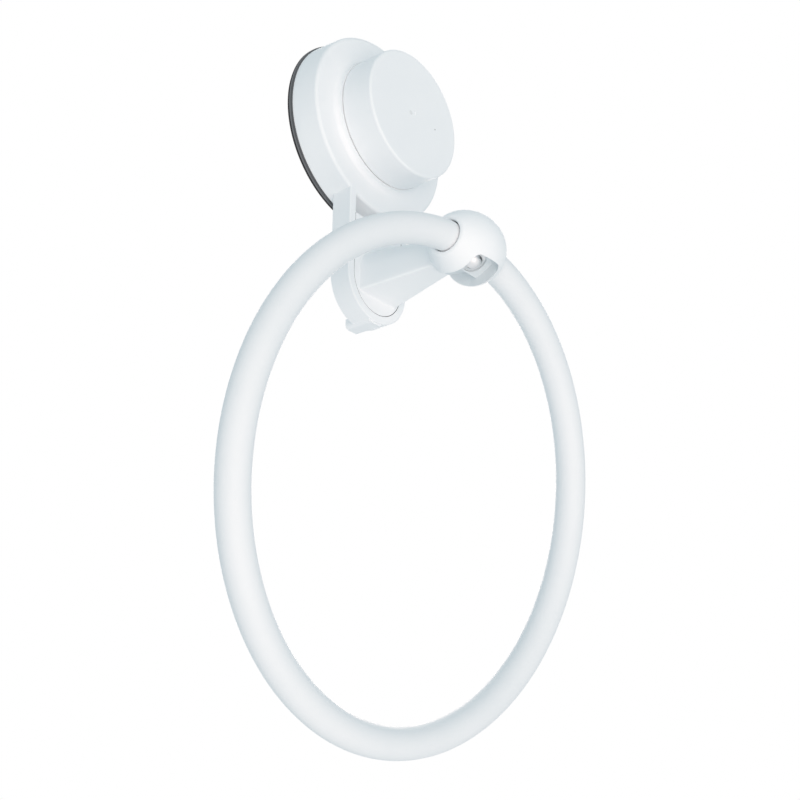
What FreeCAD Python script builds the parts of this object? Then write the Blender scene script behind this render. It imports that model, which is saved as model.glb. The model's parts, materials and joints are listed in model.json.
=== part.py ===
import FreeCAD, Part
import os
import re

import Sketcher

# Towel ring on a suction mount, in millimetres.
# The wall is the plane y = 0 and the mount stands out from it towards -Y.
# +Z is up, +X is to the right of someone who faces the wall.
# "Depth" below is the distance out from the wall, so y = -depth.

doc = FreeCAD.newDocument("TowelRing")
sheet = doc.addObject("Spreadsheet::Sheet", "Sizes")

sizes = {
    # suction cup
    "cup_rad": 40.6,
    "cup_rim_depth": 2.5,
    "cup_rim_width": 4.0,
    "cup_rim_slope": 1.0,
    "cup_web": 1.9,
    "cup_lip_round": 0.5,
    "rim_groove": 0.45,
    "boss_rad": 12.0,
    "boss_slope": 6.0,
    "boss_depth": 4.6,
    # stud that pulls the cup
    "flange_rad": 10.5,
    "flange_thick": 1.8,
    "stud_rad": 5.0,
    "stud_flat": 4.0,
    "stud_chamfer": 1.0,
    "stud_out": 8.3,
    "stud_travel": 3.0,
    "slide_clear": 0.3,
    "thread_clear": 0.08,
    # dish of the housing
    "rim_show": 0.6,
    "dish_draft": 0.5,
    "face_depth": 14.9,
    "dish_round": 1.4,
    "shell_wall": 2.4,
    "collar_rad": 27.7,
    "collar_rise": 3.0,
    "collar_root": 2.4,
    "plate_drop": 1.5,
    "guide_rad": 9.0,
    "guide_gap": 0.6,
    "spigot_rise": 3.0,
    "spigot_wall": 1.8,
    "spigot_clear": 0.4,
    "rib_thick": 1.6,
    "rib_count": 8,
    "rib_bite": 0.5,
    # socket under the dish
    "tongue_half": 14.1,
    "foot_below": 31.5,
    "top_below": 6.1,
    "socket_wall": 3.2,
    "socket_back": 5.6,
    "socket_plate": 2.0,
    "socket_edge": 0.5,
    "tongue_clear": 0.15,
    "tongue_edge": 0.3,
    "foot_half": 3.9,
    "foot_show": 0.65,
    "foot_near": 1.9,
    "foot_far": 14.0,
    "foot_round": 1.7,
    # knob
    "knob_step": 0.3,
    "knob_high": 14.7,
    "knob_wall": 2.2,
    "knob_round": 1.1,
    "seam_gap": 0.35,
    "hub_rad": 10.0,
    "insert_rad": 7.0,
    "insert_long": 8.4,
    "insert_groove_deep": 0.5,
    "insert_groove_low": 2.1,
    "insert_groove_high": 5.2,
    "insert_groove_wide": 1.3,
    "washer_thick": 1.0,
    "washer_rad": 11.5,
    "turn_gap": 0.1,
    "gate_rad": 0.9,
    "gate_deep": 0.2,
    # arm
    "reach": 59.2,
    "head_lift": 0.5,
    "tip_inset": 8.0,
    "arm_half_base": 10.95,
    "arm_half_tip": 4.4,
    "under_base": 7.6,
    "under_tip": 4.85,
    "arm_side_base": 9.0,
    "arm_side_tip": 7.8,
    "arm_root": 0.6,
    "arm_edge": 0.9,
    "head_wall": 7.85,
    "head_half": 13.5,
    "head_crown": 18.0,
    "head_lip": 1.2,
    "mouth_round": 0.95,
    "bore_clear": 0.35,
    # pocket under the head, with the bore's tube and the screw's seat in it
    "pocket_level": 5.5,
    "pocket_half": 7.25,
    "pocket_side": 7.55,
    "pocket_front": 10.67,
    "pocket_front_half": 4.9,
    "pocket_bow": 6.44,
    "pocket_corner": 3.25,
    "pocket_straight": 4.0,
    "pocket_bend": 8.5,
    "pocket_bend_half": 6.35,
    "pocket_end": 13.2,
    "pocket_end_half": 4.75,
    "tube_wall": 0.95,
    "wall_bite": 0.5,
    "seat_back": 5.2,
    "seat_front": 8.4,
    "recess_tilt": 25.0,
    "recess_half": 4.6,
    "recess_corner": 4.2,
    "recess_wall": 0.6,
    "recess_deep": 0.95,
    # ring
    "ring_tube": 6.0,
    "ring_rad": 93.0,
    "ring_lean": 12.9,
    "chord_drop": 0.9,
    "bend_rad": 40.0,
    "tip_clear": 0.8,
    "pin_gap": 0.7,
    "pin_rad": 2.5,
    "pin_half": 8.0,
    # screws
    "set_head_rad": 3.25,
    "set_head_high": 2.45,
    "set_head_side": 0.8,
    "set_rad": 1.5,
    "back_head_rad": 3.5,
    "back_head_high": 1.9,
    "back_head_round": 0.8,
    "back_rad": 1.9,
    "back_long": 12.0,
    "back_taper": 2.0,
    "back_tip_rad": 0.4,
    "screw_lift": 0.5,
    "screw_clear": 0.05,
    "cross_half": 0.45,
    "cross_reach": 1.5,
    "cross_deep": 1.0,
    "over_cut": 1.0,
}
for row, (name, number) in enumerate(sizes.items(), start=1):
    sheet.set("A%d" % row, name)
    sheet.set("B%d" % row, str(number))
    sheet.setAlias("B%d" % row, name)
doc.recompute()

# lengths that follow from the sizes; each may use the ones above it
follows = {
    "dish_base_rad": "cup_rad - rim_show",
    "dish_face_rad": "dish_base_rad - dish_draft",
    "collar_depth": "face_depth + collar_rise",
    "stud_end": "collar_depth + stud_out",
    "knob_rad": "collar_rad - knob_step",
    "knob_face": "collar_depth + knob_high",
    "tongue_top": "dish_face_rad + top_below",
    "tongue_foot": "dish_face_rad + foot_below",
    "back_drop": "tongue_foot - screw_lift",
    "head_drop": "tongue_foot - head_lift",
    "arm_under_base": "tongue_foot + under_base",
    "arm_under_tip": "head_drop + under_tip",
    "bore_rad": "ring_tube + bore_clear",
    "head_rad": "bore_rad + head_wall",
    "recess_floor": "bore_rad + recess_wall",
    "end_gap": "set_rad + tip_clear",
    "set_tip": "pin_rad + pin_gap",
}
WORDS = re.compile(r"\b(" + "|".join(sorted(sizes, key=len, reverse=True)) + r")\b")


def cells(text):
    """An expression on the sheet's cells, from plain words."""
    text = str(text)
    for name in reversed(follows):
        text = re.sub(r"\b%s\b" % name, "(%s)" % follows[name], text)
    return WORDS.sub(lambda found: "Sizes." + found.group(0), text)


def value(text):
    """The same expression as a number."""
    return float(eval_in_sheet(cells(text)))


def eval_in_sheet(expression):
    result = sheet.evalExpression(expression)
    return getattr(result, "Value", result)


def new_body(name):
    body = doc.addObject("PartDesign::Body", name)
    body.Label = name
    return body


def origin_plane(body, role):
    return next(item for item in body.Origin.OriginFeatures if item.Role == role)


def new_sketch(body, name, role, offset=None, turn=None):
    """A sketch on one of the body's origin planes, moved by expressions (x, y, z), turned about x."""
    sketch = body.newObject("Sketcher::SketchObject", name)
    sketch.AttachmentSupport = [(origin_plane(body, role), "")]
    sketch.MapMode = "FlatFace"
    if turn is not None:
        sketch.AttachmentOffset = FreeCAD.Placement(
            FreeCAD.Vector(0, 0, 0), FreeCAD.Rotation(FreeCAD.Vector(1, 0, 0), value(turn)))
        sketch.setExpression("AttachmentOffset.Rotation.Angle", cells(turn))
    for axis, text in zip("xyz", offset or ()):
        if text:
            sketch.setExpression("AttachmentOffset.Base." + axis, cells(text))
    doc.recompute()
    return sketch


def bind(sketch, kind, geometry, point, text):
    """A signed distance of one sketch point from the sketch's origin, along x or y."""
    if text in ("0", 0):
        sketch.addConstraint(Sketcher.Constraint(kind, -1, 1, geometry, point, 0.0))
        return
    number = sketch.addConstraint(Sketcher.Constraint(kind, -1, 1, geometry, point, value(text)))
    sketch.setExpression("Constraints[%d]" % number, cells(text))


def arc_between(start, end, side, direction, place):
    """The arc from start to end whose centre has the given x or y. It takes up half a turn at
    most; side 1 bulges to the left of the way, -1 to the right."""
    middle = (start + end) * 0.5
    left = FreeCAD.Vector(start.y - end.y, end.x - start.x, 0).normalize()
    if direction == "DistanceX":
        centre = middle + left * ((place - middle.x) / left.x)
    else:
        centre = middle + left * ((place - middle.y) / left.y)
    top = centre + left * side * (start - centre).Length
    return Part.Arc(end, top, start) if side > 0 else Part.Arc(start, top, end)


def outline(sketch, points, closed=True):
    """Lines and arcs through points. A point (x, y) starts a line to the next point, and
    (x, y, side, direction, place) an arc whose centre is pinned at that place."""
    spots = [FreeCAD.Vector(value(p[0]), value(p[1]), 0) for p in points]
    last = len(points) if closed else len(points) - 1
    first = len(sketch.Geometry)
    ends = []
    for index in range(last):
        start, end = spots[index], spots[(index + 1) % len(points)]
        if len(points[index]) > 2:
            side, direction, place = points[index][2:]
            arc = arc_between(start, end, side, direction, value(place))
            geometry = sketch.addGeometry(arc)
            bind(sketch, direction, geometry, 3, place)
            ends.append((2, 1) if side > 0 else (1, 2))
        else:
            sketch.addGeometry(Part.LineSegment(start, end))
            ends.append((1, 2))
    for index in range(last):
        this, following = first + index, first + (index + 1) % last
        if closed or index + 1 < last:
            sketch.addConstraint(Sketcher.Constraint(
                "Coincident", this, ends[index][1], following, ends[(index + 1) % last][0]))
    for index, point in enumerate(points):
        segment, end = (index, 0) if index < last else (last - 1, 1)
        bind(sketch, "DistanceX", first + segment, ends[segment][end], point[0])
        bind(sketch, "DistanceY", first + segment, ends[segment][end], point[1])


def circle(sketch, x, y, radius):
    geometry = sketch.addGeometry(
        Part.Circle(FreeCAD.Vector(value(x), value(y), 0), FreeCAD.Vector(0, 0, 1), value(radius)))
    bind(sketch, "DistanceX", geometry, 3, x)
    bind(sketch, "DistanceY", geometry, 3, y)
    number = sketch.addConstraint(Sketcher.Constraint("Radius", geometry, value(radius)))
    sketch.setExpression("Constraints[%d]" % number, cells(radius))


def extrude(body, name, sketch, length, cut=False, midplane=False, back=False):
    kind = "PartDesign::Pocket" if cut else "PartDesign::Pad"
    feature = body.newObject(kind, name)
    feature.Profile = sketch
    feature.Midplane = midplane
    feature.Reversed = back
    feature.setExpression("Length", cells(length))
    sketch.Visibility = False
    doc.recompute()
    return feature


def revolve(body, name, sketch, axis="V_Axis", cut=False):
    feature = body.newObject("PartDesign::Groove" if cut else "PartDesign::Revolution", name)
    feature.Profile = sketch
    feature.ReferenceAxis = (sketch, [axis])
    feature.Angle = 360.0
    doc.recompute()
    return feature


def edges_where(feature, test):
    return ["Edge%d" % number for number, edge in enumerate(feature.Shape.Edges, start=1)
            if test(edge)]


def round_edges(body, name, base, radius, test):
    feature = body.newObject("PartDesign::Fillet", name)
    feature.Base = (base, edges_where(base, test))
    feature.setExpression("Radius", cells(radius))
    doc.recompute()
    return feature


def lies_at(edge, y, tolerance=0.02):
    box = edge.BoundBox
    return abs(box.YMin - y) < tolerance and abs(box.YMax - y) < tolerance


def suction_cup():
    """Round rubber cup: flat face, thick rim with a groove round it, thin web, raised middle."""
    body = new_body("suction_cup")
    profile = new_sketch(body, "cup_profile", "XY_Plane")
    groove_low = "-(cup_rim_depth / 2 - rim_groove)"
    groove_high = "-(cup_rim_depth / 2 + rim_groove)"
    outline(profile, [
        ("0", "0"),
        ("cup_rad - cup_lip_round", "0", 1, "DistanceX", "cup_rad - cup_lip_round"),
        ("cup_rad", "-cup_lip_round"),
        ("cup_rad", groove_low),
        ("cup_rad - rim_groove", "-cup_rim_depth / 2"),
        ("cup_rad", groove_high),
        ("cup_rad", "-(cup_rim_depth - cup_lip_round)", 1, "DistanceX", "cup_rad - cup_lip_round"),
        ("cup_rad - cup_lip_round", "-cup_rim_depth"),
        ("cup_rad - cup_rim_width", "-cup_rim_depth"),
        ("cup_rad - cup_rim_width - cup_rim_slope", "-cup_web"),
        ("boss_rad + boss_slope", "-cup_web"),
        ("boss_rad", "-boss_depth"),
        ("0", "-boss_depth"),
    ])
    revolve(body, "cup_form", profile)
    return body


def draw_stud():
    """Flanged stud with two flats, which keep it from turning in the housing."""
    body = new_body("draw_stud")
    profile = new_sketch(body, "stud_profile", "XY_Plane")
    outline(profile, [
        ("0", "-boss_depth"),
        ("flange_rad", "-boss_depth"),
        ("flange_rad", "-(boss_depth + flange_thick)"),
        ("stud_rad", "-(boss_depth + flange_thick)"),
        ("stud_rad", "-(stud_end - stud_chamfer)"),
        ("stud_rad - stud_chamfer", "-stud_end"),
        ("0", "-stud_end"),
    ])
    revolve(body, "stud_form", profile)
    flats = new_sketch(body, "flat_sides", "XZ_Plane", ("", "", "boss_depth + flange_thick"))
    for sign in ("", "-"):
        inner, outer = sign + "stud_flat", sign + "(stud_rad + over_cut)"
        outline(flats, [(inner, "-(stud_rad + over_cut)"), (outer, "-(stud_rad + over_cut)"),
                        (outer, "stud_rad + over_cut"), (inner, "stud_rad + over_cut")])
    extrude(body, "flats", flats, "stud_end", cut=True, back=True)
    return body


def socket_outline(sketch, half, foot, top):
    """The U of the socket or of the tongue in it: straight sides over a half circle."""
    outline(sketch, [
        ("-(%s)" % half, top),
        ("-(%s)" % half, "-(%s)" % foot, -1, "DistanceY", "-(%s)" % foot),
        (half, "-(%s)" % foot),
        (half, top),
    ])


def housing():
    """Dish, collar and socket in one moulding."""
    body = new_body("housing")
    outer = "tongue_half + tongue_clear + socket_wall"
    inner = "tongue_half + tongue_clear"

    block = new_sketch(body, "socket_block", "XZ_Plane", ("", "", "socket_back"))
    socket_outline(block, outer, "tongue_foot", "-(dish_face_rad - 2 * shell_wall)")
    block_pad = extrude(body, "socket_form", block, "face_depth - socket_back")

    front, below = -value("face_depth"), -value("dish_face_rad")
    round_edges(body, "socket_soft", block_pad, "socket_edge",
                lambda edge: lies_at(edge, front) and edge.BoundBox.ZMin < below)

    foot = new_sketch(body, "wall_foot", "XZ_Plane", ("", "", "foot_near"))
    foot_low = "-(tongue_foot + %s + foot_show)" % outer
    outline(foot, [
        ("-foot_half", "-(tongue_foot + tongue_half)"),
        ("-foot_half", foot_low + " + foot_round", -1, "DistanceX", "-(foot_half - foot_round)"),
        ("-(foot_half - foot_round)", foot_low),
        ("foot_half - foot_round", foot_low, -1, "DistanceX", "foot_half - foot_round"),
        ("foot_half", foot_low + " + foot_round"),
        ("foot_half", "-(tongue_foot + tongue_half)"),
    ])
    extrude(body, "foot_form", foot, "foot_far - foot_near")

    seat = new_sketch(body, "tongue_seat", "XZ_Plane", ("", "", "socket_back + socket_plate"))
    socket_outline(seat, inner, "tongue_foot", "0")
    extrude(body, "seat_cut", seat, "face_depth", cut=True, back=True)

    clear = new_sketch(body, "dish_room", "XZ_Plane")
    circle(clear, "0", "0", "dish_face_rad - shell_wall / 2")
    extrude(body, "dish_clear", clear, "collar_depth", cut=True, back=True)

    dish = new_sketch(body, "dish_profile", "XY_Plane")
    plate = "collar_depth - plate_drop"
    under = "-(%s - shell_wall)" % plate
    guide_end = "-(boss_depth + flange_thick + stud_travel + guide_gap)"
    core = "knob_rad - knob_wall - spigot_clear - spigot_wall"
    outline(dish, [
        ("0", guide_end),
        ("guide_rad", guide_end),
        ("guide_rad", under),
        (core, under),
        (core, "-(face_depth - shell_wall)"),
        ("dish_face_rad - shell_wall", "-(face_depth - shell_wall)"),
        ("dish_base_rad - shell_wall", "-cup_rim_depth"),
        ("dish_base_rad", "-cup_rim_depth"),
        ("dish_face_rad", "-(face_depth - dish_round)", 1, "DistanceX", "dish_face_rad - dish_round"),
        ("dish_face_rad - dish_round", "-face_depth"),
        ("collar_rad + collar_root", "-face_depth", -1, "DistanceX", "collar_rad + collar_root"),
        ("collar_rad", "-(face_depth + collar_root)"),
        ("collar_rad", "-collar_depth"),
        (core + " + spigot_wall", "-collar_depth"),
        (core + " + spigot_wall", "-(collar_depth + spigot_rise)"),
        (core, "-(collar_depth + spigot_rise)"),
        (core, "-(%s)" % plate),
        ("0", "-(%s)" % plate),
    ])
    revolve(body, "dish_form", dish)

    rib = new_sketch(body, "rib_plan", "XZ_Plane",
                     ("", "", "boss_depth + flange_thick + stud_travel + guide_gap"))
    outline(rib, [
        ("guide_rad - rib_bite", "-rib_thick / 2"),
        ("dish_face_rad - shell_wall / 2", "-rib_thick / 2"),
        ("dish_face_rad - shell_wall / 2", "rib_thick / 2"),
        ("guide_rad - rib_bite", "rib_thick / 2"),
    ])
    rib_pad = extrude(
        body, "rib_form", rib,
        "face_depth - shell_wall / 2 - boss_depth - flange_thick - stud_travel - guide_gap")
    ribs = body.newObject("PartDesign::PolarPattern", "rib_ring")
    ribs.Originals = [rib_pad]
    ribs.Axis = (dish, ["V_Axis"])
    ribs.Angle = 360
    ribs.setExpression("Occurrences", cells("rib_count"))
    body.Tip = ribs
    doc.recompute()

    hole = new_sketch(body, "stud_hole", "XZ_Plane")
    round_rad = "stud_rad + slide_clear"
    flat = "stud_flat + slide_clear"
    rise = "sqrt((%s)^2 - (%s)^2)" % (round_rad, flat)
    outline(hole, [
        (flat, "-" + rise),
        (flat, rise, -1, "DistanceY", "0"),
        ("-(%s)" % flat, rise),
        ("-(%s)" % flat, "-" + rise, -1, "DistanceY", "0"),
    ])
    extrude(body, "stud_passage", hole, "collar_depth", cut=True, back=True)

    screw = new_sketch(body, "screw_hole", "XZ_Plane", ("", "", "socket_back"))
    circle(screw, "0", "-back_drop", "back_rad + screw_clear")
    extrude(body, "screw_passage", screw, "socket_plate", cut=True, back=True)
    return body


def knob():
    """Turning cap: skirt, face, ribs and a hub for the threaded insert."""
    body = new_body("knob")
    profile = new_sketch(body, "knob_profile", "XY_Plane")
    hub_low = "-(collar_depth - plate_drop + washer_thick + turn_gap)"
    insert_high = hub_low + " - insert_long"
    roof = "-(knob_face - knob_wall - gate_deep)"
    skirt = "-(collar_depth + seam_gap)"
    stud_room = "-(stud_end + stud_travel + slide_clear)"
    outline(profile, [
        ("0", stud_room),
        ("stud_rad + slide_clear", stud_room),
        ("stud_rad + slide_clear", insert_high),
        ("insert_rad", insert_high),
        ("insert_rad", hub_low),
        ("hub_rad", hub_low),
        ("hub_rad", roof),
        ("knob_rad - knob_wall", roof),
        ("knob_rad - knob_wall", skirt),
        ("knob_rad", skirt),
        ("knob_rad", "-(knob_face - knob_round)", 1, "DistanceX", "knob_rad - knob_round"),
        ("knob_rad - knob_round", "-knob_face"),
        ("gate_rad", "-knob_face"),
        ("gate_rad", "-(knob_face - gate_deep)"),
        ("0", "-(knob_face - gate_deep)"),
    ])
    revolve(body, "knob_form", profile)

    rib = new_sketch(body, "knob_rib_plan", "XZ_Plane",
                     ("", "", "collar_depth + spigot_rise + spigot_clear"))
    outline(rib, [
        ("hub_rad - rib_bite", "-rib_thick / 2"),
        ("knob_rad - knob_wall / 2", "-rib_thick / 2"),
        ("knob_rad - knob_wall / 2", "rib_thick / 2"),
        ("hub_rad - rib_bite", "rib_thick / 2"),
    ])
    rib_pad = extrude(body, "knob_rib", rib,
                      "knob_face - knob_wall / 2 - collar_depth - spigot_rise - spigot_clear")
    ribs = body.newObject("PartDesign::PolarPattern", "knob_rib_ring")
    ribs.Originals = [rib_pad]
    ribs.Axis = (profile, ["V_Axis"])
    ribs.Angle = 360
    ribs.setExpression("Occurrences", cells("rib_count"))
    body.Tip = ribs
    doc.recompute()
    return body


def knob_insert():
    """Metal nut in the knob's hub, grooved twice so that it can't pull out."""
    body = new_body("knob_insert")
    profile = new_sketch(body, "insert_profile", "XY_Plane")
    low = "-(collar_depth - plate_drop + washer_thick + turn_gap)"
    bore = "stud_rad + thread_clear"
    points = [(bore, low), ("insert_rad", low)]
    inner = "insert_rad - insert_groove_deep"
    for start in ("insert_groove_low", "insert_groove_high"):
        top = "%s - %s" % (low, start)
        end = top + " - insert_groove_wide"
        points += [("insert_rad", top), (inner, top), (inner, end), ("insert_rad", end)]
    points += [("insert_rad", low + " - insert_long"), (bore, low + " - insert_long")]
    outline(profile, points)
    revolve(body, "insert_form", profile)
    return body


def thrust_washer():
    body = new_body("thrust_washer")
    ring = new_sketch(body, "washer_ring", "XZ_Plane", ("", "", "collar_depth - plate_drop"))
    circle(ring, "0", "0", "washer_rad")
    circle(ring, "0", "0", "stud_rad + 2 * slide_clear")
    extrude(body, "washer_form", ring, "washer_thick")
    return body


def arm():
    """Tongue, tapering arm and barrel-shaped head in one moulding."""
    body = new_body("arm")
    tongue = new_sketch(body, "tongue_plan", "XZ_Plane", ("", "", "socket_back + socket_plate"))
    socket_outline(tongue, "tongue_half", "tongue_foot", "-tongue_top")
    tongue_pad = extrude(body, "tongue_form", tongue, "face_depth - socket_back - socket_plate")
    face = -value("face_depth")
    soft = round_edges(body, "tongue_soft", tongue_pad, "tongue_edge", lambda edge: lies_at(edge, face))

    root = arm_section(body, "root", "face_depth")
    tip = arm_section(body, "tip", "reach - tip_inset")
    loft = body.newObject("PartDesign::AdditiveLoft", "arm_form")
    loft.Profile = root
    loft.Sections = [tip]
    loft.Ruled = True
    doc.recompute()

    slack = 0.1
    half = value("arm_half_base") + slack
    low = -value("arm_under_base") - slack
    high = -value("arm_under_base - arm_side_base - arm_half_base") + slack

    def at_root(edge):
        box = edge.BoundBox
        return lies_at(edge, face) and max(abs(box.XMin), abs(box.XMax)) < half \
            and low < box.ZMin and box.ZMax < high
    round_edges(body, "arm_root_round", loft, "arm_root", at_root)

    head = new_sketch(body, "head_profile", "XY_Plane", ("", "-reach", "-head_drop"))
    rise = "sqrt((head_crown - head_lip)^2 - (head_half - head_lip)^2)"
    grow = "head_crown / (head_crown - head_lip)"
    touch_x = "%s * (head_half - head_lip)" % grow
    touch_rad = "head_rad - head_crown + %s * %s" % (grow, rise)
    outline(head, [
        ("-head_half", "0"),
        ("head_half", "0"),
        ("head_half", "head_rad - head_crown + " + rise, -1, "DistanceX", "head_half - head_lip"),
        (touch_x, touch_rad, -1, "DistanceY", "head_rad - head_crown"),
        ("-" + touch_x, touch_rad, -1, "DistanceX", "-(head_half - head_lip)"),
        ("-head_half", "head_rad - head_crown + " + rise),
    ])
    revolve(body, "head_form", head, axis="H_Axis")
    head_pocket(body)

    bore = new_sketch(body, "bore_profile", "XY_Plane", ("", "-reach", "-head_drop"))
    wide = "bore_rad + mouth_round"
    outline(bore, [
        ("-(head_half + over_cut)", "0"),
        ("head_half + over_cut", "0"),
        ("head_half + over_cut", wide),
        ("head_half", wide, 1, "DistanceX", "head_half - mouth_round"),
        ("head_half - mouth_round", "bore_rad"),
        ("-(head_half - mouth_round)", "bore_rad", 1, "DistanceX", "-(head_half - mouth_round)"),
        ("-head_half", wide),
        ("-(head_half + over_cut)", wide),
    ])
    revolve(body, "bore_cut", bore, axis="H_Axis", cut=True)

    recess = head_plane_sketch(body, "recess_plan", "recess_floor")
    inner, full = "recess_half - recess_corner", "recess_half"
    points = []
    for x, y in ((1, 1), (-1, 1), (-1, -1), (1, -1)):
        long_x, short_x = signed(x, full), signed(x, inner)
        long_y, short_y = signed(y, full), signed(y, inner)
        if x * y > 0:
            points += [(long_x, short_y, -1, "DistanceX", short_x), (short_x, long_y)]
        else:
            points += [(short_x, long_y, -1, "DistanceX", short_x), (long_x, short_y)]
    outline(recess, points)
    extrude(body, "recess_cut", recess, "head_rad", cut=True, back=True)

    hole = head_plane_sketch(body, "set_hole", "0")
    circle(hole, "0", "0", "set_rad + screw_clear")
    extrude(body, "set_passage", hole, "head_rad", cut=True, back=True)

    pilot = new_sketch(body, "pilot_hole", "XZ_Plane", ("", "", "socket_back"))
    circle(pilot, "0", "-back_drop", "back_rad + screw_clear")
    extrude(body, "pilot_cut", pilot, "socket_plate + back_long", cut=True, back=True)
    return body


def head_pocket(body):
    """Opens the head underneath, back to the arm's flat side, then fills in the tube that keeps
    the bore whole and the slanting seat of the screw."""
    pocket = new_sketch(body, "pocket_plan", "XY_Plane", ("", "-reach", "-(head_drop + pocket_level)"))
    inner = "pocket_half - pocket_corner"
    outline(pocket, [
        ("-pocket_front_half", "-pocket_front", -1, "DistanceY", "pocket_bow"),
        ("pocket_front_half", "-pocket_front", -1, "DistanceX", inner),
        ("pocket_half", "-pocket_side"),
        ("pocket_half", "pocket_straight"),
        ("pocket_bend_half", "pocket_bend"),
        ("pocket_end_half", "pocket_end"),
        ("pocket_end_half", "head_rad + over_cut"),
        ("-pocket_end_half", "head_rad + over_cut"),
        ("-pocket_end_half", "pocket_end"),
        ("-pocket_bend_half", "pocket_bend"),
        ("-pocket_half", "pocket_straight"),
        ("-pocket_half", "-pocket_side", -1, "DistanceX", "-(%s)" % inner),
    ])
    extrude(body, "pocket_cut", pocket, "head_rad", cut=True)

    side = "(pocket_half + wall_bite)"
    tube = new_sketch(body, "tube_profile", "XY_Plane", ("", "-reach", "-head_drop"))
    outline(tube, [("-" + side, "0"), (side, "0"), (side, "bore_rad + tube_wall"),
                   ("-" + side, "bore_rad + tube_wall")])
    revolve(body, "tube_form", tube, axis="H_Axis")

    seat = head_plane_sketch(body, "seat_plan", "recess_floor + recess_deep")
    outline(seat, [("-" + side, "-seat_back"), (side, "-seat_back"), (side, "seat_front"),
                   ("-" + side, "seat_front")])
    extrude(body, "seat_form", seat, "recess_floor + recess_deep", back=True)


def signed(sign, text):
    return "(%s)" % text if sign > 0 else "-(%s)" % text


def arm_section(body, name, depth):
    """Flat underneath with soft corners, straight sides, round on top."""
    section = new_sketch(body, "arm_%s_section" % name, "XZ_Plane", ("", "", depth))
    ending = "base" if name == "root" else "tip"
    half, under, side = ("arm_%s_%s" % (word, ending) for word in ("half", "under", "side"))
    spring = "-%s + %s" % (under, side)
    flat, corner = half + " - arm_edge", "-%s + arm_edge" % under
    outline(section, [
        ("-(%s)" % flat, "-" + under),
        (flat, "-" + under, -1, "DistanceX", flat),
        (half, corner),
        (half, spring, -1, "DistanceY", spring),
        ("-" + half, spring),
        ("-" + half, corner, -1, "DistanceX", "-(%s)" % flat),
    ])
    return section


def head_plane_sketch(body, name, out):
    """A sketch square to the screw's axis, at a distance out from the head's centre."""
    shift_y = "-head_drop - (%s) * cos(recess_tilt)" % out
    shift_z = "reach + (%s) * sin(recess_tilt)" % out
    return new_sketch(body, name, "XZ_Plane", ("", shift_y, shift_z), turn="90 - recess_tilt")


def ring():
    """Round bar bent to a hoop; its two ends lie in line inside the head."""
    body = new_body("ring")
    line_end = "sqrt((ring_rad - bend_rad)^2 - (ring_rad - bend_rad - chord_drop)^2)"
    grow = "ring_rad / (ring_rad - bend_rad)"
    meet_x = "%s * %s" % (grow, line_end)
    meet_y = "chord_drop - ring_rad + %s * (ring_rad - bend_rad - chord_drop)" % grow
    path = new_sketch(body, "ring_path", "XZ_Plane", ("", "-head_drop", "reach"), turn="ring_lean")
    low = "chord_drop - 2 * ring_rad"
    outline(path, [
        ("end_gap", "0"),
        (line_end, "0", 1, "DistanceX", line_end),
        (meet_x, meet_y, 1, "DistanceY", "chord_drop - ring_rad"),
        ("0", low, 1, "DistanceY", "chord_drop - ring_rad"),
        ("-" + meet_x, meet_y, 1, "DistanceX", "-" + line_end),
        ("-" + line_end, "0"),
        ("-end_gap", "0"),
    ], closed=False)
    section = new_sketch(body, "ring_section", "YZ_Plane", ("-reach", "-head_drop", "end_gap"))
    circle(section, "0", "0", "ring_tube")
    bar = body.newObject("PartDesign::AdditivePipe", "ring_form")
    bar.Profile = section
    bar.Spine = path
    doc.recompute()
    sockets = new_sketch(body, "pin_sockets", "YZ_Plane", ("-reach", "-head_drop", ""))
    circle(sockets, "0", "0", "pin_rad + screw_clear")
    extrude(body, "pin_bores", sockets, "2 * pin_half", cut=True, midplane=True)
    return body


def ring_pin():
    body = new_body("ring_pin")
    section = new_sketch(body, "pin_section", "YZ_Plane", ("-reach", "-head_drop", ""))
    circle(section, "0", "0", "pin_rad")
    extrude(body, "pin_form", section, "2 * pin_half", midplane=True)
    return body


def cross_recess(body, make_sketch, deep, back):
    """Cross slot in a screw's head."""
    for name, wide, tall in (("across", "cross_reach", "cross_half"),
                             ("upright", "cross_half", "cross_reach")):
        slot = make_sketch("slot_" + name)
        outline(slot, [("-" + wide, "-" + tall), (wide, "-" + tall), (wide, tall), ("-" + wide, tall)])
        extrude(body, "cross_" + name, slot, deep, cut=True, back=back)


def ring_screw():
    """Domed screw in the head's recess; its tip stands between the hoop's two ends."""
    body = new_body("ring_screw")
    profile = new_sketch(body, "set_profile", "XY_Plane")
    outline(profile, [
        ("0", "-set_tip"),
        ("set_rad", "-set_tip"),
        ("set_rad", "-recess_floor"),
        ("set_head_rad", "-recess_floor"),
        ("set_head_rad", "-(recess_floor + set_head_side)", 1, "DistanceX", "0"),
        ("0", "-(recess_floor + set_head_high)"),
    ])
    revolve(body, "set_form", profile)
    cross_recess(
        body, lambda name: new_sketch(body, name, "XZ_Plane", ("", "", "recess_floor + set_head_high")),
        "cross_deep", back=False)
    set_on_axis(body)
    return body


def set_on_axis(body):
    """Turns a body that was drawn along -Y about X, onto the axis of the head's recess."""
    body.Placement = FreeCAD.Placement(
        FreeCAD.Vector(0, 0, 0), FreeCAD.Rotation(FreeCAD.Vector(1, 0, 0), 90 - value("recess_tilt")))
    body.setExpression("Placement.Rotation.Angle", cells("90 - recess_tilt"))
    body.setExpression("Placement.Base.y", cells("-reach"))
    body.setExpression("Placement.Base.z", cells("-head_drop"))
    doc.recompute()


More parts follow.
